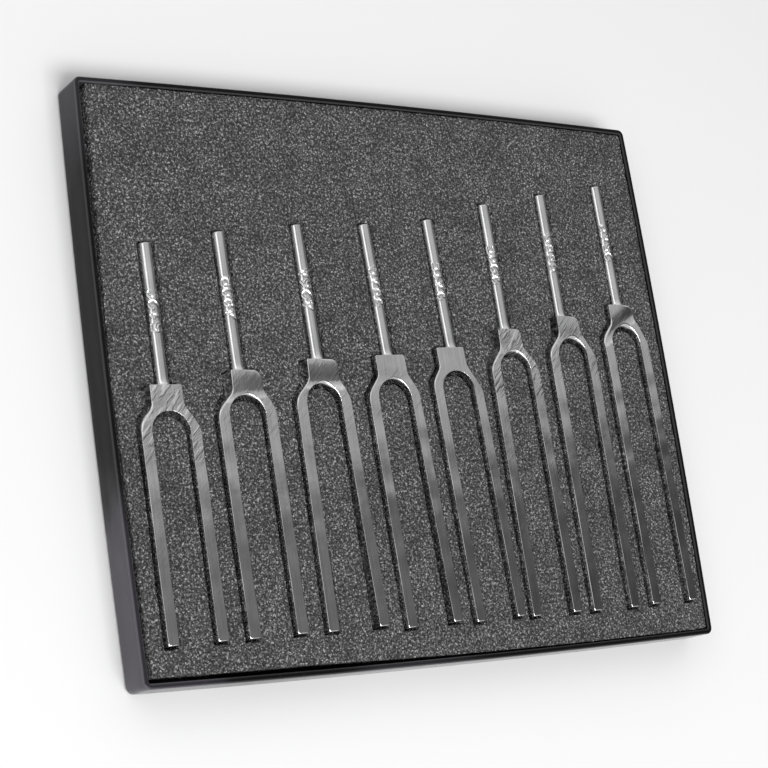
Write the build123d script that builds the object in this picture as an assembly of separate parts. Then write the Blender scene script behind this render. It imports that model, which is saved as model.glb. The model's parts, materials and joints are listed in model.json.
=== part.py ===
from build123d import *
import os

# A set of eight aluminium tuning forks in a shallow moulded tray with die-cut foam.
# Millimetres. Origin: centre of the tray's underside. +X along the tray from the
# shortest fork to the longest, +Y towards the stems, +Z up out of the foam.

# Tray
TRAY_WIDTH = 258.3      # X, over the bowed sides
TRAY_LENGTH = 218.8     # Y, over the bowed sides
TRAY_DEPTH = 14.5
TRAY_WALL = 2.0
TRAY_FLOOR = 1.4
SIDE_BOW = 1.2          # how far the middle of each side stands out past its corners
TRAY_CORNER = 2.6       # plan radius outside
RIM_ROUND = 0.8
BASE_ROUND = 1.2

# Foam
FOAM_GAP = 0.5          # to the tray wall at the corners, where the bowed wall is nearest
FOAM_CORNER = 1.0
FOAM_DROP = 0.7         # foam surface below the tray rim
FORK_REST_GAP = 0.1     # between the back of a fork and the foam it lies on

# Forks
FORK_DEPTH = 7.0        # Z, both tines and yoke
FORK_PROUD = 2.0        # front face above the foam surface
TINE_GAP = 15.0         # between the tines, at the arch
YOKE_RISE = 9.2         # yoke's top above the top of the arch
HOLLOW_RISE = 1.4       # where the yoke's side meets the shoulder, above the top of the arch
HOLLOW_ROUND = 4.0      # round inside corner between yoke side and shoulder
SHOULDER_ROUND = 8.5
LEFT_CORNER = 0.5
STEM_DIAMETER = 5.2
STEM_LENGTH = 52.0
STEM_FLARE = 0.4        # fillet where the stem leaves the yoke
STEM_END_ROUND = 0.4
EDGE_ROUND = 0.45       # hand-polished edges of the flat faces

# A prismatic aluminium tine clamped at its root sounds at
# f = 0.1615 * c * t / L^2, with c = 5090 m/s: 822 m/s * t / L^2
BAR_CONSTANT = 822000.0  # mm * Hz

# Pockets
SIDE_CLEARANCE = 0.8
END_CLEARANCE = 1.0
YOKE_CLEARANCE = 0.4    # past the yoke's top
STEM_SLOT = 7.5
SLOT_SHIFT = 0.4        # slot's middle from the stem's
SHOULDER_LIFT = 0.6     # the pocket's slanted shoulders sit this much towards the stem
TONGUE_CLEARANCE = 0.8
TONGUE_ARCH_GAP = 1.6   # between the tongue's end and the arch


class Fork:
    """One fork of the scale, with its seat in the foam."""

    def __init__(
        self, note, frequency, tine, tip_gap, seat, lean, stem_shift, yoke, corner, shoulders, notch
    ):
        self.name = "fork_" + note
        self.tine = tine                # from the tips to the top of the arch
        self.thickness = frequency * tine**2 / BAR_CONSTANT
        self.tip_gap = tip_gap          # hand-set tines are a little wider at the tips
        self.seat = seat                # X and Y of the middle of the tips
        self.lean = lean                # degrees, anticlockwise from above
        self.stem_shift = stem_shift    # hand-turned stems are not quite central
        self.yoke = yoke                # X of the yoke's left and right sides
        self.corner = corner            # radius of the yoke's right corner, ground by hand
        self.shoulders = shoulders      # left and right, where they meet the tines below the arch
        self.notch = notch              # gap left of the yoke in the pocket

    def place(self, shape, height):
        return Pos(self.seat[0], self.seat[1], height) * Rot(0, 0, self.lean) * shape


FORKS = [
    Fork("c512", 512.0, tine=80.7, tip_gap=15.0, seat=(-106.3, -94.6), lean=0.5, stem_shift=0.3,
         yoke=(-6.2, 6.5), corner=0.9, shoulders=(4.2, 6.2), notch=2.2),
    Fork("b480", 480.0, tine=86.0, tip_gap=15.0, seat=(-74.6, -94.4), lean=0.9, stem_shift=0.0,
         yoke=(-4.4, 8.2), corner=3.4, shoulders=(5.6, 5.6), notch=3.4),
    Fork("a426", 426.6, tine=90.1, tip_gap=17.4, seat=(-41.4, -94.2), lean=1.2, stem_shift=1.3,
         yoke=(-4.6, 8.6), corner=2.6, shoulders=(5.4, 6.2), notch=2.4),
    Fork("g384", 384.0, tine=92.6, tip_gap=16.6, seat=(-8.2, -95.0), lean=2.2, stem_shift=1.4,
         yoke=(-5.7, 7.6), corner=1.2, shoulders=(5.4, 5.4), notch=1.0),
    Fork("f341", 341.3, tine=96.0, tip_gap=15.4, seat=(22.2, -95.0), lean=2.3, stem_shift=1.6,
         yoke=(-7.0, 6.0), corner=0.8, shoulders=(4.2, 8.0), notch=0.8),
    Fork("e320", 320.0, tine=103.8, tip_gap=15.6, seat=(49.3, -95.0), lean=0.9, stem_shift=-0.2,
         yoke=(-5.4, 5.9), corner=2.2, shoulders=(6.2, 6.4), notch=2.8),
    Fork("d288", 288.0, tine=109.6, tip_gap=15.0, seat=(79.0, -95.0), lean=0.4, stem_shift=-1.2,
         yoke=(-5.2, 6.7), corner=3.2, shoulders=(5.4, 7.6), notch=2.0),
    Fork("c256", 256.0, tine=114.4, tip_gap=15.6, seat=(109.7, -94.2), lean=1.0, stem_shift=0.8,
         yoke=(-5.8, 7.6), corner=3.2, shoulders=(5.0, 7.2), notch=1.0),
]

FOAM_TOP_Z = TRAY_DEPTH - FOAM_DROP
FORK_BACK_Z = FOAM_TOP_Z + FORK_PROUD - FORK_DEPTH
FOAM_FLOOR_Z = FORK_BACK_Z - FORK_REST_GAP


def bowed_rectangle(width, length, bow, corner):
    """A rectangle whose sides are shallow arcs, with rounded corners."""
    x = width / 2 - bow
    y = length / 2 - bow
    sides = [
        ThreePointArc((-x, -y), (0, -length / 2), (x, -y)),
        ThreePointArc((x, -y), (width / 2, 0), (x, y)),
        ThreePointArc((x, y), (0, length / 2), (-x, y)),
        ThreePointArc((-x, y), (-width / 2, 0), (-x, -y)),
    ]
    face = make_face(sides)
    return fillet(face.vertices(), corner)


def make_tray():
    outer = bowed_rectangle(TRAY_WIDTH, TRAY_LENGTH, SIDE_BOW, TRAY_CORNER)
    inner = bowed_rectangle(
        TRAY_WIDTH - 2 * TRAY_WALL,
        TRAY_LENGTH - 2 * TRAY_WALL,
        SIDE_BOW,
        TRAY_CORNER - TRAY_WALL,
    )
    tray = extrude(outer, TRAY_DEPTH)
    tray -= Pos(0, 0, TRAY_FLOOR) * extrude(inner, TRAY_DEPTH)
    rim = tray.edges().group_by(Axis.Z)[-1]
    tray = fillet(rim, RIM_ROUND)
    base = tray.edges().group_by(Axis.Z)[0]
    return fillet(base, BASE_ROUND)


def foam_outline():
    side_loss = 2 * (TRAY_WALL + SIDE_BOW + FOAM_GAP)
    return RectangleRounded(TRAY_WIDTH - side_loss, TRAY_LENGTH - side_loss, FOAM_CORNER)


def make_foam_base():
    return Pos(0, 0, TRAY_FLOOR) * extrude(foam_outline(), FOAM_FLOOR_Z - TRAY_FLOOR)


def strip(width, low, high, middle=0.0):
    """A rectangle of the given width from y = low to y = high."""
    return Pos(middle, (low + high) / 2) * Rectangle(width, high - low)


def pocket(fork):
    """The die-cut outline round one fork, in the fork's own frame."""
    tip = fork.tip_gap / 2 + fork.thickness + SIDE_CLEARANCE
    root = TINE_GAP / 2 + fork.thickness + SIDE_CLEARANCE
    left, right = fork.yoke
    left -= fork.notch
    right += SIDE_CLEARANCE
    left_shoulder, right_shoulder = fork.shoulders
    yoke_top = fork.tine + YOKE_RISE
    hollow = fork.tine + HOLLOW_RISE + SHOULDER_LIFT
    outline = Polyline(
        (tip, -END_CLEARANCE),
        (root, fork.tine - right_shoulder + SHOULDER_LIFT),
        (right, hollow),
        (right, yoke_top + YOKE_CLEARANCE),
        (left, yoke_top + YOKE_CLEARANCE),
        (left, hollow),
        (-root, fork.tine - left_shoulder + SHOULDER_LIFT),
        (-tip, -END_CLEARANCE),
        close=True,
    )
    slot_end = yoke_top + STEM_LENGTH + END_CLEARANCE
    slot = strip(STEM_SLOT, fork.tine, slot_end, fork.stem_shift + SLOT_SHIFT)
    tongue_width = TINE_GAP - 2 * TONGUE_CLEARANCE
    tongue_shoulder = fork.tine - TONGUE_ARCH_GAP - tongue_width / 2
    tongue = strip(tongue_width, -END_CLEARANCE, tongue_shoulder)
    tongue += Pos(0, tongue_shoulder) * Circle(tongue_width / 2)
    return make_face(outline) + slot - tongue


def make_foam_top():
    layer = Pos(0, 0, FOAM_FLOOR_Z) * extrude(foam_outline(), FOAM_TOP_Z - FOAM_FLOOR_Z)
    for fork in FORKS:
        cutter = extrude(pocket(fork), FORK_DEPTH + FORK_PROUD)
        layer -= fork.place(cutter, FOAM_FLOOR_Z)
    return layer


def corners_at(shape, x, y):
    """The shape's corner at a place in its plane."""
    return shape.vertices().filter_by(lambda v: abs(v.X - x) < 0.01 and abs(v.Y - y) < 0.01)


def fork_outline(fork):
    """Yoke and tines from above, tips on y = 0."""
    half_root = TINE_GAP / 2
    half_tip = fork.tip_gap / 2
    tip = half_tip + fork.thickness
    root = half_root + fork.thickness
    left, right = fork.yoke
    left_shoulder, right_shoulder = fork.shoulders
    yoke_top = fork.tine + YOKE_RISE
    hollow = fork.tine + HOLLOW_RISE
    rounds = [
        (root, fork.tine - right_shoulder, SHOULDER_ROUND),
        (right, hollow, HOLLOW_ROUND),
        (right, yoke_top, fork.corner),
        (left, yoke_top, LEFT_CORNER),
        (left, hollow, HOLLOW_ROUND),
        (-root, fork.tine - left_shoulder, SHOULDER_ROUND),
    ]
    corners = [(x, y) for x, y, radius in rounds]
    outer = make_face(Polyline((tip, 0), *corners, (-tip, 0), close=True))
    for x, y, radius in rounds:
        outer = fillet(corners_at(outer, x, y), radius)
    arch_centre = fork.tine - half_root
    start = (half_root, arch_centre)
    finish = (-half_root, arch_centre)
    inner = make_face(
        [
            ThreePointArc(start, (0, fork.tine), finish),
            Line(finish, (-half_tip, 0)),
            Line((-half_tip, 0), (half_tip, 0)),
            Line((half_tip, 0), start),
        ]
    )
    return outer - inner


def make_fork(fork):
    body = extrude(fork_outline(fork), FORK_DEPTH)
    front = body.edges().group_by(Axis.Z)[-1]
    back = body.edges().group_by(Axis.Z)[0]
    body = fillet(front + back, EDGE_ROUND)
    yoke_top = fork.tine + YOKE_RISE
    stem_start = Pos(fork.stem_shift, yoke_top - 1.0, FORK_DEPTH / 2) * Rot(-90, 0, 0)
    stem = stem_start * Cylinder(
        STEM_DIAMETER / 2, STEM_LENGTH + 1.0, align=(Align.CENTER, Align.CENTER, Align.MIN)
    )
    stem_end = stem.edges().sort_by(Axis.Y)[-1]
    stem = fillet(stem_end, STEM_END_ROUND)
    body += stem
    root = body.edges().filter_by(GeomType.CIRCLE)
    root = root.filter_by(lambda e: abs(e.radius - STEM_DIAMETER / 2) < 0.01)
    root = root.filter_by(lambda e: abs(e.center().Y - yoke_top) < 0.01)
    return fillet(root, STEM_FLARE)


os.makedirs("parts", exist_ok=True)
pieces = {"tray": make_tray(), "foam_base": make_foam_base(), "foam_top": make_foam_top()}
for fork in FORKS:
    pieces[fork.name] = fork.place(make_fork(fork), FORK_BACK_Z)
for name, piece in pieces.items():
    export_step(piece, f"parts/{name}.step")
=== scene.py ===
import json
from math import cos, pi, radians, sin

import bmesh
import bpy
import numpy as np
from mathutils import Matrix, Vector
from mathutils.geometry import delaunay_2d_cdt


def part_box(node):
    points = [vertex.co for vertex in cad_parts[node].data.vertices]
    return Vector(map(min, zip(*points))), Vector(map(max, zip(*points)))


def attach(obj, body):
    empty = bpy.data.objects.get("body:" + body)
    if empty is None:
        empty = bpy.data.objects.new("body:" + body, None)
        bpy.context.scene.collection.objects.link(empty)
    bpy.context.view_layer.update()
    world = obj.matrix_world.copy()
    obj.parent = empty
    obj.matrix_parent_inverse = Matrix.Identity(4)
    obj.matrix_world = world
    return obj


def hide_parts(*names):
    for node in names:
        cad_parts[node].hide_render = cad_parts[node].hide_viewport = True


# A boxed set of tuning forks: grainy foam, hand-polished forks with stamped stems, and a
# glossy moulded tray. Metres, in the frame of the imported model.

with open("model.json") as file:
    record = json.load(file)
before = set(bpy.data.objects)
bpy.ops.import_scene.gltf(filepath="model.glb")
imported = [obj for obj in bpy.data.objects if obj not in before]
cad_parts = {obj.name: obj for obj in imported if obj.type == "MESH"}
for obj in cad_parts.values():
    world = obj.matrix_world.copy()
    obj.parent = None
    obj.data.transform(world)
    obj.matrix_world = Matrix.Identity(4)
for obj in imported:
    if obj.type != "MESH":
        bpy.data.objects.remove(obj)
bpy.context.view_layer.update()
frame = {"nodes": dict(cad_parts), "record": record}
MM = 0.001
MOUNTS = {mount["name"]: mount for mount in frame["record"]["mounts"]}

# ---------------------------------------------------------------- driving values

# Tray, as in the model it replaces
TRAY_WALL = 2.0 * MM
TRAY_FLOOR = 1.4 * MM
TRAY_BOW = 1.2 * MM
TRAY_CORNER = 2.6 * MM
INNER_CORNER = 0.6 * MM    # least corner radius of the inner wall
FLOOR_CORNER = 0.6 * MM    # how far the floor's rounded edge reaches in,
FLOOR_CORNER_RISE = 0.5 * MM    # and how far up the wall
RIM_ROUND = 0.8 * MM
BASE_ROUND = 1.2 * MM

# Foam
CELL = 0.84 * MM           # spacing of the upper sheet's surface points, about one cell
HIDDEN_CELL = 2.2 * MM     # and of the hidden lower sheet's
CELL_DEPTH = 0.19 * MM
FOAM_SWELL = 0.12 * MM     # slow unevenness of the foam's surface,
SWELL_SIZE = 45 * MM       # and how wide its bumps are
FOAM_EDGE_DROP = 0.25 * MM
CUT_WANDER = 0.14 * MM     # how far a die-cut edge strays,
WANDER_SIZE = 9 * MM       # and over what length
EDGE_REACH = 4 * MM        # how far in from a side an outline point is moved with it
# Gap between the foam and the tray's inner wall: (place along the side, gap), millimetres
LEFT_GAP = ((-105, 1.8), (-80, 1.7), (-40, 1.3), (0, 0.5), (40, 1.9), (80, 2.6), (105, 2.8))
NEAR_GAP = ((-125, 1.9), (-110, 1.8), (-60, 2.0), (0, 1.0), (60, 0.6), (125, 0.5))
FAR_GAP = ((-125, 0.3), (125, 0.3))
RIGHT_GAP = ((-105, 0.3), (105, 0.3))

# Forks
EDGE_ROUND = 0.45 * MM     # as in the model they replace
FINE_EDGE = 0.06 * MM      # least and
WORN_EDGE = 0.34 * MM      # most rounding of a hand-polished edge
TIP_ROUND = 0.40 * MM
EDGE_STEPS = 5             # rings of points round a fork's edge
YOKE_RISE = 9.2 * MM       # of the yoke's top above the top of the arch
TINE_REACH = 9.2 * MM      # the tines' inner sides lie this near to the fork's middle,
ARCH_REACH = 4.0 * MM      # the middle of the arch lies this near,
ARCH_TOP = 1.5 * MM        # and both lie below this height over the arch
TIP_BAND = 0.1 * MM        # points this close to the fork's end are its tips
FACE_STEP = 1.1 * MM       # spacing of the points on a fork's faces
FACE_WAVE = 0.020 * MM
SLOPE_REACH = 0.05 * MM    # half the step over which a face's slope is taken
HOLLOW_START = -2.0 * MM   # of the ground hollow in the yoke, from the top of the arch
STAMP_HEIGHT = 4.6 * MM    # of a character, round the stem
STAMP_PITCH = 4.1 * MM
STAMP_WIDTH = 2.7 * MM
STAMP_DEPTH = 0.24 * MM
STAMP_STROKE = 0.34 * MM   # half the width of a struck line
BURR = 0.10 * MM
STEM_FLARE = 3.0 * MM      # length and
FLARE_RISE = 0.6 * MM      # height of the flare where the stem meets the yoke
STEM_END_ROUND = 0.45 * MM
STEM_SIDES = 112           # points round the stem
UP = np.array((0, 0, 1.0))


class Finish:
    """How one fork was finished by hand, millimetres."""

    def __init__(self, stamp, hollow, turn, arch, corner, shoulder, scratched):
        self.stamp = stamp
        self.hollow = hollow * MM       # depth ground out of the yoke's front
        self.turn = radians(turn)       # which way it was ground
        self.arch = arch * MM           # width of the bevel round the arch
        self.corner = corner * MM       # and at the yoke's right corner
        self.shoulder = shoulder * MM   # and round the left shoulder
        self.scratched = scratched      # 0 to 1, file marks on the yoke


FINISHES = {
    "fork_c512": Finish("512C", hollow=0.12, turn=10, arch=0.2, corner=0.5, shoulder=1.3, scratched=1.0),
    "fork_b480": Finish("480B", hollow=0.40, turn=5, arch=1.2, corner=1.1, shoulder=1.0, scratched=0.1),
    "fork_a426": Finish("426A", hollow=0.60, turn=0, arch=1.6, corner=1.2, shoulder=0.8, scratched=0.1),
    "fork_g384": Finish("384G", hollow=0.06, turn=0, arch=1.0, corner=0.4, shoulder=0.5, scratched=0.05),
    "fork_f341": Finish("341F", hollow=0.00, turn=0, arch=0.2, corner=0.6, shoulder=0.6, scratched=0.05),
    "fork_e320": Finish("320E", hollow=0.14, turn=-15, arch=1.5, corner=1.0, shoulder=0.8, scratched=1.0),
    "fork_d288": Finish("288D", hollow=0.16, turn=0, arch=1.8, corner=1.4, shoulder=0.9, scratched=0.2),
    "fork_c256": Finish("256C", hollow=0.38, turn=30, arch=1.9, corner=1.5, shoulder=0.9, scratched=0.05),
}

# ---------------------------------------------------------------- shader helpers


def new_material(name):
    material = bpy.data.materials.new(name)
    material.use_nodes = True
    tree = material.node_tree
    return material, tree, tree.nodes["Principled BSDF"]


def add_node(tree, kind, inputs=None, **settings):
    node = tree.nodes.new("ShaderNode" + kind)
    for key, value in settings.items():
        setattr(node, key, value)
    for key, value in (inputs or {}).items():
        node.inputs[key].default_value = value
    return node


def object_position(tree, stretch=(1, 1, 1), turn=(0, 0, 0)):
    """Where a point is on the object, stretched for streaked patterns."""
    place = add_node(tree, "TexCoord")
    turned = add_node(tree, "Mapping", {"Rotation": turn})
    stretched = add_node(tree, "Mapping", {"Scale": stretch})
    tree.links.new(place.outputs["Object"], turned.inputs["Vector"])
    tree.links.new(turned.outputs["Vector"], stretched.inputs["Vector"])
    return stretched.outputs["Vector"]


def noise(tree, vector, scale, detail=3.0, rough=0.6):
    node = add_node(tree, "TexNoise", {"Scale": scale, "Detail": detail, "Roughness": rough})
    tree.links.new(vector, node.inputs["Vector"])
    return node.outputs["Fac"]


def ramp(tree, value, stops):
    """A colour ramp from (position, grey or colour) stops."""
    node = add_node(tree, "ValToRGB")
    elements = node.color_ramp.elements
    while len(elements) < len(stops):
        elements.new(0.5)
    for element, (position, colour) in zip(elements, stops):
        element.position = position
        if not isinstance(colour, tuple):
            colour = (colour, colour, colour)
        element.color = (*colour, 1)
    tree.links.new(value, node.inputs["Fac"])
    return node.outputs["Color"]


def combine(tree, kind, first, second, share=1.0):
    node = add_node(tree, "Mix", data_type="RGBA", blend_type=kind)
    node.inputs["Factor"].default_value = share
    tree.links.new(first, node.inputs["A"])
    tree.links.new(second, node.inputs["B"])
    return node.outputs["Result"]


def bump(tree, shader, height, distance, strength=1.0, under=None):
    node = add_node(tree, "Bump", {"Strength": strength, "Distance": distance})
    tree.links.new(height, node.inputs["Height"])
    if under is not None:
        tree.links.new(under, node.inputs["Normal"])
    tree.links.new(node.outputs["Normal"], shader.inputs["Normal"])
    return node.outputs["Normal"]


# ---------------------------------------------------------------- camera and light

CAMERA_AT = Vector((-0.4152, -0.1537, 0.5826))
CAMERA_AIM = Vector((-0.0150, -0.0042, 0.0145))
CAMERA_ROLL = radians(64.98)
LENS = 89.3
# World brightness, fitted so that the forks mirror light and dark where the photo's do.
# Against the direction's Y: the near wall, and the ceiling past its edge
CEILING = [(0.0, 0.65), (0.40, 0.65), (0.47, 0.0), (0.606, 0.0), (0.622, 0.48), (0.68, 0.51), (0.85, 0.75)]
SHADE = [(0.42, 1.0), (0.48, 0.35), (0.525, 0.35), (0.56, 1.0)]
# Against its X: the side walls, and how the ceiling fades across
WALLS = [(0.0, 0.30), (0.20, 0.40), (0.35, 0.40), (0.735, 0.21), (0.835, 0.06)]
FADE = [(0.0, 0.7), (0.30, 0.85), (0.45, 1.2), (0.60, 1.05),
        (0.74, 1.0), (0.84, 1.0), (0.92, 0.4), (1.0, 0.2)]
CEILING_TILT = 0.076       # rise of the ceiling's near edge
# Softboxes: place, what it points at, size and watts
KEY = ((-0.95, 0.36, 0.85), (0, 0, 0), (1.4, 0.45), 2.5)
FRONT_FILL = ((-0.15, -0.95, 1.55), (0, -0.05, 0), (1.3, 0.7), 22.0)
FLOOR_HALF = 3.0           # half the floor's side
FLOOR_DROP = 0.0002        # how far the floor lies under the tray
FLOOR_WHITE = 0.86


def add_camera():
    data = bpy.data.cameras.new("camera")
    data.lens = LENS
    data.sensor_width = 36.0
    data.clip_start = 0.01
    camera = bpy.data.objects.new("camera", data)
    forward = (CAMERA_AIM - CAMERA_AT).normalized()
    level = forward.cross(Vector((0, 0, 1))).normalized()
    lifted = level.cross(forward)
    right = level * cos(CAMERA_ROLL) + lifted * sin(CAMERA_ROLL)
    up = lifted * cos(CAMERA_ROLL) - level * sin(CAMERA_ROLL)
    turn = Matrix((right, up, -forward)).transposed().to_4x4()
    camera.matrix_world = Matrix.Translation(CAMERA_AT) @ turn
    bpy.context.scene.collection.objects.link(camera)
    bpy.context.scene.camera = camera


def add_softbox(name, at, aim, size, power):
    data = bpy.data.lights.new(name, "AREA")
    data.shape = "RECTANGLE"
    data.size, data.size_y = size
    data.energy = power
    lamp = bpy.data.objects.new(name, data)
    lamp.location = at
    lamp.rotation_euler = (Vector(aim) - Vector(at)).to_track_quat("-Z", "Y").to_euler()
    bpy.context.scene.collection.objects.link(lamp)


def facing(tree, towards, direction):
    """How far a place or direction lies this way: 0.5 at the origin, 1 at one unit or more along."""
    dot = add_node(tree, "VectorMath", operation="DOT_PRODUCT")
    dot.inputs[1].default_value = Vector(direction).normalized()
    tree.links.new(towards, dot.inputs[0])
    shift = add_node(tree, "Math", operation="MULTIPLY_ADD")
    shift.inputs[1].default_value = 0.5
    shift.inputs[2].default_value = 0.5
    tree.links.new(dot.outputs["Value"], shift.inputs[0])
    return shift.outputs["Value"]


def add_studio():
    """Pale ceiling past the stems with a definite near edge, and walls that darken to +X."""
    world = bpy.data.worlds.new("studio")
    bpy.context.scene.world = world
    world.use_nodes = True
    tree = world.node_tree
    towards = add_node(tree, "TexCoord").outputs["Generated"]
    along = facing(tree, towards, (0, 1, CEILING_TILT))
    across = facing(tree, towards, (1, 0, 0))
    ceiling = combine(tree, "MULTIPLY", ramp(tree, along, CEILING), ramp(tree, across, FADE))
    walls = combine(tree, "MULTIPLY", ramp(tree, across, WALLS), ramp(tree, along, SHADE))
    tree.links.new(combine(tree, "LIGHTEN", ceiling, walls), tree.nodes["Background"].inputs["Color"])
    add_softbox("key", *KEY)
    add_softbox("front_fill", *FRONT_FILL)


def add_floor():
    mesh = bpy.data.meshes.new("floor")
    corners = [(x * FLOOR_HALF, y * FLOOR_HALF, 0) for x, y in ((-1, -1), (1, -1), (1, 1), (-1, 1))]
    mesh.from_pydata(corners, [], [(0, 1, 2, 3)])
    floor = bpy.data.objects.new("floor", mesh)
    floor.location.z = -FLOOR_DROP
    bpy.context.scene.collection.objects.link(floor)
    material, _, shader = new_material("floor_paper")
    shader.inputs["Base Color"].default_value = (FLOOR_WHITE, FLOOR_WHITE, FLOOR_WHITE, 1)
    shader.inputs["Roughness"].default_value = 0.9
    mesh.materials.append(material)


# ---------------------------------------------------------------- materials

# Patterns per metre
FOAM_CELLS = 1300.0
FOAM_TONE = 950.0
FOAM_PATCH = 110.0
FOAM_PITS = 2300.0
METAL_CLOUDS = 65.0
METAL_DENTS = 150.0
TRAY_DUST = 900.0
TRAY_RIPPLE = 55.0
# Tray colours: the near-black plastic, and the grey and purple of the reflections painted on its wall
BLACK = (0.004, 0.004, 0.005)
REFLECTION_GREY = (0.048, 0.046, 0.052)
REFLECTION_PURPLE = (0.053, 0.048, 0.063)


def foam_material(name, brightest):
    """Foam grain: pale cells with painted glints, and dark gaps between them as painted shade."""
    material, tree, shader = new_material(name)
    at = object_position(tree)
    cells = add_node(tree, "TexVoronoi", {"Scale": FOAM_CELLS}, feature="F1")
    tree.links.new(at, cells.inputs["Vector"])
    # Over the cell grain: painted glints on the cells and painted shade in the gaps between them.
    cell_glints_and_pore_shade = ramp(tree, cells.outputs["Distance"], [(0.12, 1.0), (0.34, 0.50), (0.62, 0.13)])
    tone = ramp(tree, noise(tree, at, FOAM_TONE, 2.0, 0.7), [(0.34, 0.08), (0.50, 0.25), (0.64, 0.80)])
    clouds = noise(tree, at, FOAM_PATCH, 3.0, 0.6)
    patch = ramp(tree, clouds, [(0.32, 0.6 * brightest), (0.62, brightest)])
    colour = combine(tree, "MULTIPLY", tone, cell_glints_and_pore_shade)
    tree.links.new(combine(tree, "MULTIPLY", colour, patch), shader.inputs["Base Color"])
    gloss = ramp(tree, cells.outputs["Distance"], [(0.1, 0.30), (0.6, 0.75)])
    tree.links.new(gloss, shader.inputs["Roughness"])
    height = ramp(tree, cells.outputs["Distance"], [(0.05, 1.0), (0.7, 0.0)])
    under = bump(tree, shader, height, 0.0005, 0.8)
    bump(tree, shader, noise(tree, at, FOAM_PITS), 0.0003, 0.5, under)
    return material


def metal_material(name, smoothest, roughest):
    """Polished aluminium with lengthwise streaks, and diagonal file marks where file_marks says."""
    material, tree, shader = new_material(name)
    shader.inputs["Metallic"].default_value = 1.0
    at = object_position(tree)
    broad = noise(tree, at, METAL_CLOUDS, 4.0, 0.6)
    along = noise(tree, object_position(tree, (2200, 45, 2200)), 1.0, 2.0, 0.5)
    filed = noise(tree, object_position(tree, (150, 700, 150), (0, 0, -0.85)), 1.0, 1.5, 0.5)
    hatch = noise(tree, object_position(tree, (300, 1500, 300), (0, 0, -0.6)), 1.0, 2.0, 0.5)
    worn = add_node(tree, "Attribute", attribute_name="file_marks")
    marks = combine(tree, "ADD", ramp(tree, filed, [(0.5, 0.0), (0.66, 1.0)]), hatch, 0.3)
    marks = combine(tree, "MULTIPLY", marks, worn.outputs["Color"])
    colour = ramp(tree, broad, [(0.3, (0.68, 0.68, 0.69)), (0.7, (0.86, 0.86, 0.86))])
    streaks = ramp(tree, along, [(0.35, 0.82), (0.6, 1.0)])
    colour = combine(tree, "MULTIPLY", colour, streaks, 0.7)
    tree.links.new(colour, shader.inputs["Base Color"])
    roughness = ramp(tree, broad, [(0.3, smoothest), (0.7, roughest)])
    tree.links.new(combine(tree, "ADD", roughness, marks, 0.3), shader.inputs["Roughness"])
    under = bump(tree, shader, along, 0.00003, 0.25)
    under = bump(tree, shader, marks, 0.00022, 0.6, under)
    bump(tree, shader, noise(tree, at, METAL_DENTS, 2.0), 0.0002, 0.1, under)
    return material


def tray_material():
    """Glossy black. The grey, black and purple stretches of the outer wall are painted reflections, placed by
    position and fitted to the photo; the pale line along the rim is a painted highlight, and the painted
    reflections are dimmed on the rim's flat top."""
    material, tree, shader = new_material("moulded_gloss")
    shader.inputs["IOR"].default_value = 1.40
    at = object_position(tree)
    along_wall = facing(tree, object_position(tree, (4, 4, 4)), (-2, -1, 0))
    patches = noise(tree, object_position(tree, (12, 9, 20)), 1.0, 4.0, 0.6)
    stretch = combine(tree, "MIX", along_wall, patches, 0.10)
    height = facing(tree, object_position(tree, (40, 40, 40)), (0, 0, 1))
    dust = noise(tree, at, TRAY_DUST, 2.0, 0.7)
    # Painted reflections: grey, black and purple stretches of the outer wall, set by position along it.
    painted_reflection_bands = [(0.57, BLACK), (0.60, REFLECTION_GREY), (0.63, REFLECTION_GREY), (0.665, BLACK), (0.73, BLACK), (0.745, REFLECTION_PURPLE)]
    colour = ramp(tree, stretch, painted_reflection_bands)
    # The painted reflections are dimmed to 0.3 on the rim's flat top, a painted dark reflection there.
    reflection_dimmed_on_rim = ramp(tree, height, [(0.786, 1.0), (0.7895, 0.3)])
    colour = combine(tree, "MULTIPLY", colour, reflection_dimmed_on_rim)
    # Painted highlight: a pale line along the rim's rounded outer edge.
    painted_rim_highlight = ramp(tree, height, [(0.770, 0.0), (0.776, 0.045), (0.786, 0.045), (0.7895, 0.0)])
    colour = combine(tree, "ADD", colour, painted_rim_highlight)
    specks = ramp(tree, dust, [(0.66, 0.0), (0.80, 0.05)])
    tree.links.new(combine(tree, "ADD", colour, specks), shader.inputs["Base Color"])
    tree.links.new(ramp(tree, stretch, [(0.66, 0.10), (0.75, 0.20)]), shader.inputs["Roughness"])
    mirror = ramp(tree, stretch, [(0.72, 0.11), (0.75, 0.45)])
    tree.links.new(mirror, shader.inputs["Specular IOR Level"])
    under = bump(tree, shader, noise(tree, at, TRAY_RIPPLE, 2.0), 0.0010, 0.25)
    moulding = noise(tree, object_position(tree, (300, 300, 4000)), 1.0)
    bump(tree, shader, moulding, 0.00003, 0.3, under)
    return material


# ---------------------------------------------------------------- mesh helpers


def new_piece(name, points, faces, material, body, smooth=True):
    mesh = bpy.data.meshes.new(name)
    mesh.from_pydata([tuple(p) for p in points], [], faces)
    mesh.validate()
    mesh.polygons.foreach_set("use_smooth", [smooth] * len(mesh.polygons))
    mesh.materials.append(material)
    piece = bpy.data.objects.new(name, mesh)
    bpy.context.scene.collection.objects.link(piece)
    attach(piece, body)
    return piece


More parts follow.
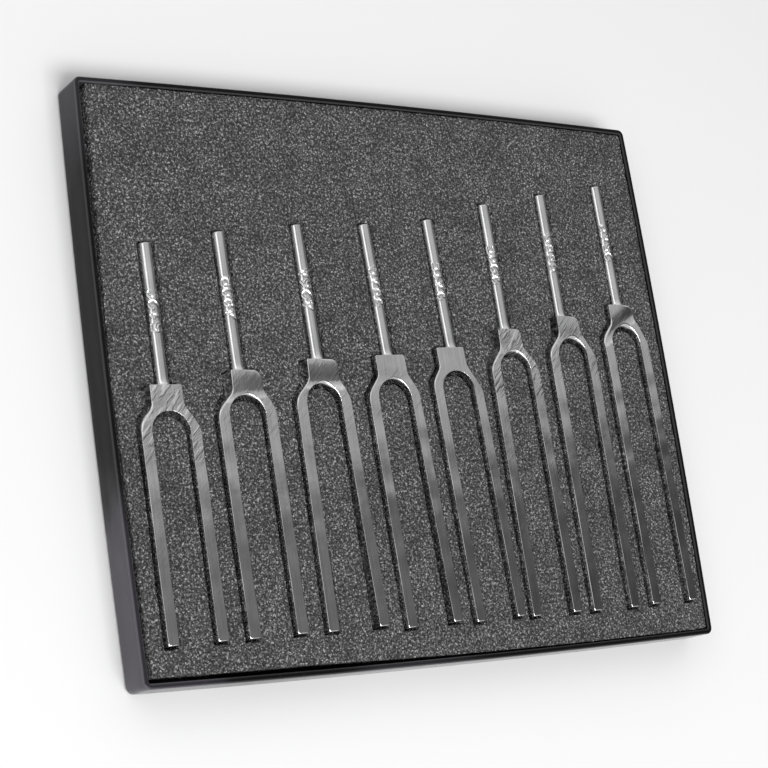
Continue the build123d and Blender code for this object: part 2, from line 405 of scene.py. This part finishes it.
def flat_loops(node, height):
    """The closed outlines of a CAD node's flat faces at a height, widest first. Where each one
    starts may differ from run to run, and the foam's grain differs with it."""
    build = bmesh.new()
    build.from_mesh(frame["nodes"][node].data)
    bmesh.ops.remove_doubles(build, verts=build.verts, dist=1e-6)
    level = [f for f in build.faces if abs(f.normal.z) > 0.99]
    level = {f for f in level if abs(f.calc_center_median().z - height) < 1e-5}
    after = {}
    for face in level:
        for loop in face.loops:
            if sum(f in level for f in loop.edge.link_faces) == 1:
                after[loop.vert] = loop.link_loop_next.vert
    loops = []
    while after:
        vert, following = after.popitem()
        loop = [vert.co.xy.to_tuple()]
        while following in after:
            loop.append(following.co.xy.to_tuple())
            following = after.pop(following)
        loops.append(np.array(loop))
    build.free()
    return sorted(loops, key=lambda p: -np.ptp(p[:, 0]))


def resample(loop, step):
    """The same outline with points no further apart than step."""
    points = []
    for here, there in zip(loop, np.roll(loop, -1, axis=0)):
        pieces = max(1, int(np.ceil(np.linalg.norm(there - here) / step)))
        for i in range(pieces):
            points.append(here + (there - here) * i / pieces)
    return np.array(points)


def outward(loop):
    """Unit normals pointing out of an anticlockwise outline, longer at its corners."""
    ahead = np.roll(loop, -1, axis=0) - loop
    ahead /= np.linalg.norm(ahead, axis=1)[:, None]
    behind = np.roll(ahead, 1, axis=0)
    normal = np.stack([ahead[:, 1] + behind[:, 1], -ahead[:, 0] - behind[:, 0]], 1)
    normal /= np.linalg.norm(normal, axis=1)[:, None]
    lean = normal[:, 0] * ahead[:, 1] - normal[:, 1] * ahead[:, 0]
    return normal / np.clip(lean, 0.6, 1.0)[:, None]


def inside(points, loop):
    """Which points lie within an outline."""
    result = np.zeros(len(points), bool)
    x, y = points[:, 0], points[:, 1]
    for (x0, y0), (x1, y1) in zip(loop, np.roll(loop, -1, axis=0)):
        if y0 != y1:
            crosses = (y0 > y) != (y1 > y)
            result ^= crosses & (x < (x1 - x0) * (y - y0) / (y1 - y0) + x0)
    return result


def near(points, loop, distance):
    """Which points lie closer than a distance to an outline's points."""
    result = np.zeros(len(points), bool)
    for start in range(0, len(loop), 64):
        part = loop[start:start + 64]
        low, high = part.min(0) - distance, part.max(0) + distance
        rows = np.flatnonzero(((points > low) & (points < high)).all(1))
        gaps = np.linalg.norm(points[rows, None] - part[None], axis=2).min(1)
        result[rows[gaps < distance]] = True
    return result


def triangulate(outer, holes, spacing, jitter, random):
    """Points and triangles that fill an outline round its holes, the outlines' points first."""
    outlines = [outer] + holes
    fixed = np.concatenate(outlines)
    edges = []
    first = 0
    for loop in outlines:
        count = len(loop)
        edges += [(first + i, first + (i + 1) % count) for i in range(count)]
        first += count
    if spacing:
        low, high = outer.min(0), outer.max(0)
        columns = np.arange(low[0], high[0], spacing)
        rows = np.arange(low[1], high[1], spacing * 0.87)
        grid = np.stack(np.meshgrid(columns, rows), -1)
        grid[1::2, :, 0] += spacing / 2
        grid = grid.reshape(-1, 2)
        grid = grid + random.uniform(-jitter, jitter, grid.shape) * spacing
        keep = inside(grid, outer) & ~near(grid, outer, spacing * 0.6)
        for hole in holes:
            keep &= ~near(grid, hole, spacing * 0.6)
            box = ((grid > hole.min(0)) & (grid < hole.max(0))).all(1) & keep
            rows = np.flatnonzero(box)
            keep[rows[inside(grid[rows], hole)]] = False
        points = np.concatenate([fixed, grid[keep]])
    else:
        points = fixed
    made = delaunay_2d_cdt([Vector(p) for p in points], edges, [], 0, 1e-9)
    origin = [sources[0] for sources in made[3]]
    triangles = np.array([[origin[i] for i in face] for face in made[2]])
    middle = points[triangles].mean(1)
    keep = inside(middle, outer)
    for hole in holes:
        box = ((middle > hole.min(0)) & (middle < hole.max(0))).all(1)
        rows = np.flatnonzero(box)
        keep[rows[inside(middle[rows], hole)]] = False
    triangles = triangles[keep]
    a, b, c = (points[triangles[:, i]] for i in range(3))
    flipped = (b - a)[:, 0] * (c - a)[:, 1] < (b - a)[:, 1] * (c - a)[:, 0]
    triangles[flipped] = triangles[flipped][:, ::-1]
    return points, triangles


def slow_waves(points, size, random, count=7):
    """A smooth uneven field over the points, mostly within -1 to 1, with bumps of about this size."""
    field = np.zeros(len(points))
    for _ in range(count):
        turn, phase = random.uniform(0, 2 * pi, 2)
        pitch = 2 * pi / (size * random.uniform(0.6, 1.6))
        field += np.sin((points[:, 0] * cos(turn) + points[:, 1] * sin(turn)) * pitch + phase)
    return field / count * 1.6


# ---------------------------------------------------------------- foam


def inner_wall(half, other_half, place):
    """How far the tray's bowed inner wall is from the middle, along one of its sides."""
    return half - TRAY_WALL - TRAY_BOW * (place / other_half) ** 2


def settle(loop):
    """The foam's outline as it lies in the tray, with an uneven gap to the bowed wall."""
    low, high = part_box("tray")
    half = (high - low) / 2
    near_edge, far_edge = loop.min(0), loop.max(0)
    settled = loop.copy()
    for axis, low_gap, high_gap in ((0, LEFT_GAP, RIGHT_GAP), (1, NEAR_GAP, FAR_GAP)):
        other = 1 - axis
        place = loop[:, other]
        wall = inner_wall(half[axis], half[other], place)
        for edge, sign, gap in ((near_edge, -1, low_gap), (far_edge, 1, high_gap)):
            distance = np.abs(loop[:, axis] - edge[axis])
            share = np.clip(1 - distance / EDGE_REACH, 0, 1)
            span = np.interp(place, [p * MM for p, _ in gap], [g * MM for _, g in gap])
            target = sign * (wall - span)
            settled[:, axis] += (target - edge[axis]) * share
    return settled


def foam_sheet(name, node, step, wall_rows, materials, seed):
    """A slab of foam with a grainy surface and slightly wandering cut edges."""
    random = np.random.default_rng(seed)
    low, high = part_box(node)
    loops = [resample(loop, step) for loop in flat_loops(node, high.z)]
    loops[0] = settle(loops[0])
    outlines = []
    for loop in loops:
        wander = slow_waves(loop, WANDER_SIZE, random) * CUT_WANDER
        rough = random.uniform(-0.5, 0.5, len(loop)) * CUT_WANDER
        outlines.append(loop - outward(loop) * (np.abs(wander) + rough)[:, None])
    outer, holes = outlines[0], outlines[1:]
    points, triangles = triangulate(outer, holes, step, 0.32, random)
    edge = len(np.concatenate(outlines))
    height = high.z - CELL_DEPTH + random.normal(0, 0.5, len(points)).clip(-1, 1) * CELL_DEPTH
    height += slow_waves(points, SWELL_SIZE, random) * FOAM_SWELL
    height[:edge] -= FOAM_EDGE_DROP
    verts = [np.column_stack([points, height])]
    faces = [tuple(t) for t in triangles.tolist()]
    top_count = len(faces)
    base = len(points)
    # Walls, row by row, from each outline down to the sheet's back
    previous = np.arange(edge)
    normals = np.concatenate([outward(loop) for loop in outlines])
    rim = points[:edge]
    starts = np.cumsum([0] + [len(loop) for loop in outlines])
    for row in range(1, wall_rows + 1):
        share = row / wall_rows
        level = height[:edge] * (1 - share) + low.z * share
        stray = random.uniform(-1.0, 0.2, edge) * CUT_WANDER * (row < wall_rows)
        ring = rim + normals * stray[:, None]
        verts.append(np.column_stack([ring, level]))
        current = np.arange(edge) + base
        base += edge
        for first, last in zip(starts[:-1], starts[1:]):
            here = np.arange(first, last)
            there = np.roll(here, -1)
            quads = np.stack([previous[here], current[here], current[there], previous[there]], 1)
            faces += [tuple(q) for q in quads.tolist()]
        previous = current
    _, back = triangulate(outer, holes, None, 0, random)
    faces += [tuple(t[::-1]) for t in (back + previous[0]).tolist()]
    piece = new_piece(name, np.concatenate(verts), faces, materials[0], "case", smooth=False)
    piece.data.materials.append(materials[1])
    which = np.ones(len(piece.data.polygons), np.int32)
    which[:top_count] = 0
    piece.data.polygons.foreach_set("material_index", which)
    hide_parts(node)


# ---------------------------------------------------------------- tray


def bowed_outline(half_x, half_y, corner, side_steps=40, corner_steps=8):
    """A rounded rectangle whose sides bow out, anticlockwise from the lower right corner."""
    core_x, core_y = half_x - TRAY_BOW, half_y - TRAY_BOW
    points = []
    for quarter in range(4):
        sign_x = 1 if quarter in (0, 3) else -1
        sign_y = 1 if quarter in (0, 1) else -1
        for i in range(corner_steps + 1):
            angle = pi / 2 * (quarter + i / corner_steps)
            points.append((sign_x * (core_x - corner) + corner * cos(angle),
                           sign_y * (core_y - corner) + corner * sin(angle)))
        end = points[-1]
        next_x = 1 if (quarter + 1) % 4 in (0, 3) else -1
        next_y = 1 if (quarter + 1) % 4 in (0, 1) else -1
        angle = pi / 2 * (quarter + 1)
        goal = (next_x * (core_x - corner) + corner * cos(angle),
                next_y * (core_y - corner) + corner * sin(angle))
        for i in range(1, side_steps):
            share = i / side_steps
            points.append((end[0] + (goal[0] - end[0]) * share, end[1] + (goal[1] - end[1]) * share))
    points = np.array(points)
    across = points / (core_x, core_y)
    bow = TRAY_BOW * (1 - across[:, ::-1] ** 2) * across
    return points + bow


def tray_profile(depth):
    """(inset from the outer side, height) round the wall, from floor to underside."""
    steps = 6
    profile = [(TRAY_WALL + FLOOR_CORNER, TRAY_FLOOR), (TRAY_WALL, TRAY_FLOOR + FLOOR_CORNER_RISE)]
    for i in range(steps + 1):
        angle = pi / 2 * i / steps
        profile.append((TRAY_WALL - RIM_ROUND * (1 - cos(angle)), depth - RIM_ROUND * (1 - sin(angle))))
    for i in range(steps + 1):
        angle = pi / 2 * i / steps
        profile.append((RIM_ROUND * (1 - sin(angle)), depth - RIM_ROUND * (1 - cos(angle))))
    profile += [(0, depth * 0.6), (0, depth * 0.3)]
    for i in range(steps + 1):
        angle = pi / 2 * i / steps
        profile.append((BASE_ROUND * (1 - cos(angle)), BASE_ROUND * (1 - sin(angle))))
    return profile


def make_tray(material):
    low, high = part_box("tray")
    half = (high - low) / 2
    verts, faces = [], []
    for inset, height in tray_profile(high.z):
        corner = max(TRAY_CORNER - inset, INNER_CORNER)
        ring = bowed_outline(half.x - inset, half.y - inset, corner)
        verts.append(np.column_stack([ring, np.full(len(ring), height)]))
    count = len(verts[0])
    for row in range(len(verts) - 1):
        for i in range(count):
            j = (i + 1) % count
            faces.append((row * count + i, row * count + j, (row + 1) * count + j, (row + 1) * count + i))
    faces.append(tuple(range(count)))
    faces.append(tuple(reversed(range((len(verts) - 1) * count, len(verts) * count))))
    piece = new_piece("tray_shell", np.concatenate(verts), faces, material, "case")
    piece.data.set_sharp_from_angle(angle=radians(40))
    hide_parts("tray")


# ---------------------------------------------------------------- stamped characters


def arc(centre, radius, start, end, steps=10):
    """Points along part of an ellipse, angles in degrees."""
    angles = [radians(start + (end - start) * i / steps) for i in range(steps + 1)]
    return [(centre[0] + radius[0] * cos(a), centre[1] + radius[1] * sin(a)) for a in angles]


# Each character's strokes in a box 0.6 wide and 1 high
CHARACTERS = {
    "0": [arc((0.3, 0.5), (0.3, 0.5), 0, 360, 18)],
    "1": [[(0.12, 0.78), (0.32, 1.0), (0.32, 0.0)]],
    "2": [arc((0.3, 0.7), (0.3, 0.3), 165, -35) + [(0.0, 0.0), (0.6, 0.0)]],
    "3": [arc((0.27, 0.75), (0.27, 0.25), 150, -90), arc((0.27, 0.25), (0.31, 0.25), 90, -150)],
    "4": [[(0.44, 0.0), (0.44, 1.0), (0.0, 0.3), (0.6, 0.3)]],
    "5": [[(0.55, 1.0), (0.06, 1.0), (0.03, 0.56)] + arc((0.27, 0.31), (0.31, 0.31), 125, -145)],
    "6": [arc((0.3, 0.3), (0.3, 0.3), 0, 360, 16), [(0.0, 0.3), (0.1, 0.68), (0.5, 1.0)]],
    "8": [arc((0.3, 0.76), (0.24, 0.24), 0, 360, 14), arc((0.3, 0.26), (0.3, 0.26), 0, 360, 14)],
    "A": [[(0.0, 0.0), (0.3, 1.0), (0.6, 0.0)], [(0.12, 0.36), (0.48, 0.36)]],
    "B": [[(0.0, 0.0), (0.0, 1.0)] + arc((0.28, 0.75), (0.26, 0.25), 90, -90, 8) + [(0.0, 0.5)],
          arc((0.28, 0.25), (0.32, 0.25), 90, -90, 8) + [(0.0, 0.0)]],
    "C": [arc((0.32, 0.5), (0.32, 0.5), 50, 310, 14)],
    "D": [[(0.0, 0.0), (0.0, 1.0)] + arc((0.1, 0.5), (0.5, 0.5), 90, -90, 12) + [(0.0, 0.0)]],
    "E": [[(0.55, 1.0), (0.0, 1.0), (0.0, 0.0), (0.55, 0.0)], [(0.0, 0.5), (0.45, 0.5)]],
    "F": [[(0.55, 1.0), (0.0, 1.0), (0.0, 0.0)], [(0.0, 0.5), (0.45, 0.5)]],
    "G": [arc((0.32, 0.5), (0.32, 0.5), 50, 330, 14) + [(0.6, 0.45), (0.34, 0.45)]],
}


def stroke_distance(along, around, text, random):
    """How far each point is from the nearest struck line. along runs with the text, around up it."""
    nearest = np.full(along.shape, 1.0)
    for place, character in enumerate(text):
        shift = (place - (len(text) - 1) / 2) * STAMP_PITCH + random.uniform(-0.25, 0.25) * MM
        drop = random.uniform(-0.35, 0.35) * MM
        tilt = radians(random.uniform(-6, 6))
        for stroke in CHARACTERS[character]:
            line = (np.array(stroke) - (0.3, 0.5)) * (STAMP_WIDTH / 0.6, STAMP_HEIGHT)
            turned = np.column_stack([line[:, 0] * cos(tilt) - line[:, 1] * sin(tilt),
                                      line[:, 0] * sin(tilt) + line[:, 1] * cos(tilt)])
            turned += (shift, drop)
            for start, end in zip(turned[:-1], turned[1:]):
                run = end - start
                share = ((along - start[0]) * run[0] + (around - start[1]) * run[1]) / (run @ run)
                share = np.clip(share, 0, 1)
                gap = np.hypot(along - start[0] - share * run[0], around - start[1] - share * run[1])
                nearest = np.minimum(nearest, gap)
    return nearest


def stamp_relief(distance):
    """Depth of the struck groove and the burr thrown up beside it."""
    groove = np.cos(np.clip(distance / STAMP_STROKE, 0, 1) * pi / 2) ** 2
    ridge = np.exp(-((distance - 1.5 * STAMP_STROKE) / (0.7 * STAMP_STROKE)) ** 2)
    return ridge * BURR - groove * STAMP_DEPTH


# ---------------------------------------------------------------- forks


def fork_frame(node):
    """The fork's own directions and its stem, from the record's stem mount."""
    mount = MOUNTS[node.replace("fork", "stem", 1)]
    end = np.array(mount["pos_m"])
    along = np.array(mount["axis"])
    across = np.array((along[1], -along[0], 0.0))
    return end, along, across, mount["dims"]["r_mm"] * MM, mount["dims"]["length_mm"] * MM


class HandGround:
    """A slightly uneven front or back face: its depth and slope at any place."""

    def __init__(self, random, hollow, turn):
        self.waves = []
        for _ in range(6):
            angle, phase = random.uniform(0, 2 * pi, 2)
            pitch = 2 * pi / (random.uniform(9, 26) * MM)
            self.waves.append((cos(angle) * pitch, sin(angle) * pitch, phase))
        self.hollow = hollow
        self.turn = turn

    def depth(self, place):
        x, y = place[:, 0], place[:, 1]
        total = np.zeros(len(place))
        for pitch_x, pitch_y, phase in self.waves:
            total += FACE_WAVE * (1 + np.sin(x * pitch_x + y * pitch_y + phase)) / 2
        along = y * cos(self.turn) - x * sin(self.turn)
        share = np.clip((along - HOLLOW_START) / (YOKE_RISE - HOLLOW_START), 0, 1)
        return total + self.hollow * np.sin(pi * share ** 0.45) ** 2

    def normal(self, place):
        slope = []
        for axis in range(2):
            step = np.zeros(2)
            step[axis] = SLOPE_REACH
            slope.append((self.depth(place + step) - self.depth(place - step)) / (2 * SLOPE_REACH))
        return np.column_stack([slope[0], slope[1], np.ones(len(place))])


def bevel_widths(local, inner, finish, random):
    """How much of each outline point's edge is rounded off: worn here, crisp there."""
    x, y = local[:, 0], local[:, 1]
    worn = (slow_waves(local, 30 * MM, random) + slow_waves(local, 9 * MM, random) * 0.4 + 1) / 2
    width = FINE_EDGE + (WORN_EDGE - FINE_EDGE) * worn.clip(0, 1)
    inner_width = FINE_EDGE + (width - FINE_EDGE) * np.clip(-y / (60 * MM), 0, 0.7)
    crown = np.exp(-((x - 2.0 * MM) / (3.6 * MM)) ** 2) * (y > -9 * MM)
    inner_width = np.maximum(inner_width, finish.arch * crown)
    width = np.where(inner, inner_width, width)
    outer = ~inner
    corner = np.clip(1 - np.hypot(x - 7 * MM, y - 7 * MM) / (6 * MM), 0, 1) ** 0.5 * outer
    width += (finish.corner - width).clip(0) * corner
    shoulder = np.clip(1 - np.hypot(x + 10 * MM, y + 2 * MM) / (7 * MM), 0, 1) ** 0.5 * outer
    width += (finish.shoulder - width).clip(0) * shoulder
    tips = y < y.min() + TIP_BAND
    return np.where(tips, TIP_ROUND, width)


def fork_body(node):
    """Yoke and tines: hand-ground faces with rounded and bevelled edges."""
    random = np.random.default_rng(sum(map(ord, node)) + 7)
    finish = FINISHES[node]
    low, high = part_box(node)
    end, along, across, _, length = fork_frame(node)
    side = resample(flat_loops(node, high.z)[0], FACE_STEP)
    out = outward(side)
    outline = side + out * EDGE_ROUND
    lengths = outline @ along[:2]
    tips = outline[lengths < lengths.min() + TIP_BAND] @ across[:2]
    middle = (tips.min() + tips.max()) / 2
    arch_top = end @ along - length - YOKE_RISE

    def to_local(place):
        return np.column_stack([place @ across[:2] - middle, place @ along[:2] - arch_top])

    def to_world(vectors):
        return vectors[:, :1] * across + vectors[:, 1:2] * along + vectors[:, 2:] * UP

    local = to_local(outline)
    below_arch = local[:, 1] < ARCH_TOP
    inner = (np.abs(local[:, 0]) < TINE_REACH) & below_arch
    inner &= (out @ across[:2]) * local[:, 0] <= 1e-9
    inner |= (np.abs(local[:, 0]) < ARCH_REACH) & below_arch
    width = bevel_widths(local, inner, finish, random)
    edge_normal = out / np.linalg.norm(out, axis=1)[:, None]
    verts, normals, faces = [], [], []
    chain = []
    base = 0
    for sign, face in ((1, high.z), (-1, low.z)):
        widths = width if sign > 0 else np.minimum(width, WORN_EDGE)
        flat = outline - out * widths[:, None]
        points, triangles = triangulate(flat, [], FACE_STEP, 0.2, random)
        ground = HandGround(random, finish.hollow if sign > 0 else 0.0, finish.turn)
        depth = ground.depth(to_local(points))
        verts.append(np.column_stack([points, face - sign * depth]))
        normals.append(to_world(ground.normal(to_local(points)) * (1, 1, sign)))
        cap = triangles if sign > 0 else triangles[:, ::-1]
        faces += [tuple(t) for t in (cap + base).tolist()]
        rings = [np.arange(len(flat)) + base]
        base += len(points)
        edge_depth = depth[:len(flat)]
        for i in range(1, EDGE_STEPS + 1):
            angle = pi / 2 * i / EDGE_STEPS
            ring = flat + out * (widths * sin(angle))[:, None]
            drop = edge_depth + widths * (1 - cos(angle))
            verts.append(np.column_stack([ring, face - sign * drop]))
            normals.append(np.column_stack([edge_normal * sin(angle), np.full(len(flat), sign * cos(angle))]))
            rings.append(np.arange(len(flat)) + base)
            base += len(flat)
        chain += rings if sign > 0 else rings[::-1]
    for upper, lower in zip(chain[:-1], chain[1:]):
        quads = np.stack([upper, lower, np.roll(lower, -1), np.roll(upper, -1)], 1)
        faces += [tuple(q) for q in quads.tolist()]
    verts = np.concatenate(verts)
    reach = verts @ along - arch_top
    marks = np.clip((reach + 20 * MM) / (12 * MM), 0.02, 1) * finish.scratched
    return verts, faces, np.concatenate(normals), marks


def fork_stem(node):
    """The turned stem with its flare, its rounded end and its stamped characters."""
    random = np.random.default_rng(sum(map(ord, node)))
    end, along, across, radius, length = fork_frame(node)
    root = end - along * length
    text = FINISHES[node].stamp
    centre = length * 0.52
    half = len(text) * STAMP_PITCH / 2 + 0.6 * MM
    fine = np.arange(centre - half, centre + half, 0.17 * MM)
    before = np.linspace(STEM_FLARE, centre - half - 0.5 * MM, 8)
    after = np.linspace(centre + half + 0.5 * MM, length - 0.5 * MM, 10)
    flare = STEM_FLARE * (1 - np.cos(np.linspace(0, pi / 2, 6)))[:-1]
    stations = np.concatenate([[-1.0 * MM], flare, before, fine, after])
    angle = np.arange(STEM_SIDES) * 2 * pi / STEM_SIDES - pi
    roll = random.uniform(-0.15, 0.25)
    turned = (angle - roll + pi) % (2 * pi) - pi
    y, theta = np.meshgrid(stations, turned, indexing="ij")
    distance = stroke_distance(y - centre, -theta * radius, text, random)
    size = radius + stamp_relief(distance)
    rise = np.clip(1 - y / STEM_FLARE, 0, 1)
    size += FLARE_RISE * (1 - np.sqrt(np.clip(1 - rise ** 2, 0, 1)))
    angles = np.linspace(0, pi / 2, 5)
    cap_y = length - STEM_END_ROUND + STEM_END_ROUND * np.sin(angles)
    cap_radii = radius - STEM_END_ROUND + STEM_END_ROUND * np.cos(angles)
    cap_size = np.tile(cap_radii[:, None], (1, STEM_SIDES))
    cap_y = np.append(cap_y, length)
    cap_size = np.concatenate([cap_size, cap_size[-1:] * 0.02])
    stations = np.concatenate([stations, cap_y])
    size = np.concatenate([size, cap_size])
    sideways = size * np.sin(angle)[None]
    lift = size * np.cos(angle)[None]
    verts = root + stations[:, None, None] * along + sideways[..., None] * across + lift[..., None] * UP
    verts = verts.reshape(-1, 3)
    faces = []
    for row in range(len(stations) - 1):
        here = np.arange(STEM_SIDES) + row * STEM_SIDES
        there = here + STEM_SIDES
        quads = np.stack([here, np.roll(here, -1), np.roll(there, -1), there], 1)
        faces += [tuple(q) for q in quads.tolist()]
    faces.append(tuple(range(STEM_SIDES))[::-1])
    faces.append(tuple(range(len(verts) - STEM_SIDES, len(verts))))
    return verts, faces


def make_fork(node, metals):
    verts, faces, normals, marks = fork_body(node)
    stem_verts, stem_faces = fork_stem(node)
    count = len(verts)
    faces += [tuple(i + count for i in face) for face in stem_faces]
    points = np.concatenate([verts, stem_verts])
    piece = new_piece(node + "_polished", points, faces, metals[0], node)
    mesh = piece.data
    mesh.materials.append(metals[1])
    on_stem = [polygon.vertices[0] >= count for polygon in mesh.polygons]
    mesh.polygons.foreach_set("material_index", np.array(on_stem, np.int32))
    found = np.zeros(len(mesh.vertices) * 3, np.float32)
    mesh.vertices.foreach_get("normal", found)
    found = found.reshape(-1, 3)
    found[:count] = normals / np.linalg.norm(normals, axis=1)[:, None]
    mesh.normals_split_custom_set_from_vertices(found.tolist())
    filed = mesh.attributes.new("file_marks", "FLOAT", "POINT")
    filed.data.foreach_set("value", np.pad(marks, (0, len(found) - count)).astype(np.float32))
    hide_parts(node)


# ---------------------------------------------------------------- build

add_camera()
add_studio()
add_floor()
bpy.context.scene.view_settings.view_transform = "Standard"
foam = foam_material("foam_cells", 0.96)
# A copy of the foam painted 2.7 times lighter, painted light that lifts the shade on the cut walls in the
# gaps; these walls and the hidden lower sheet take it.
painted_light_foam = foam_material("foam_with_painted_light", 2.6)
metal = metal_material("polished_aluminium", 0.09, 0.15)
stem_metal = metal_material("turned_aluminium", 0.16, 0.26)
make_tray(tray_material())
foam_sheet("foam_pockets", "foam_top", CELL, 4, (foam, painted_light_foam), 11)
foam_sheet("foam_floor", "foam_base", HIDDEN_CELL, 2, (painted_light_foam, painted_light_foam), 12)
for fork_node in FINISHES:
    make_fork(fork_node, (metal, stem_metal))
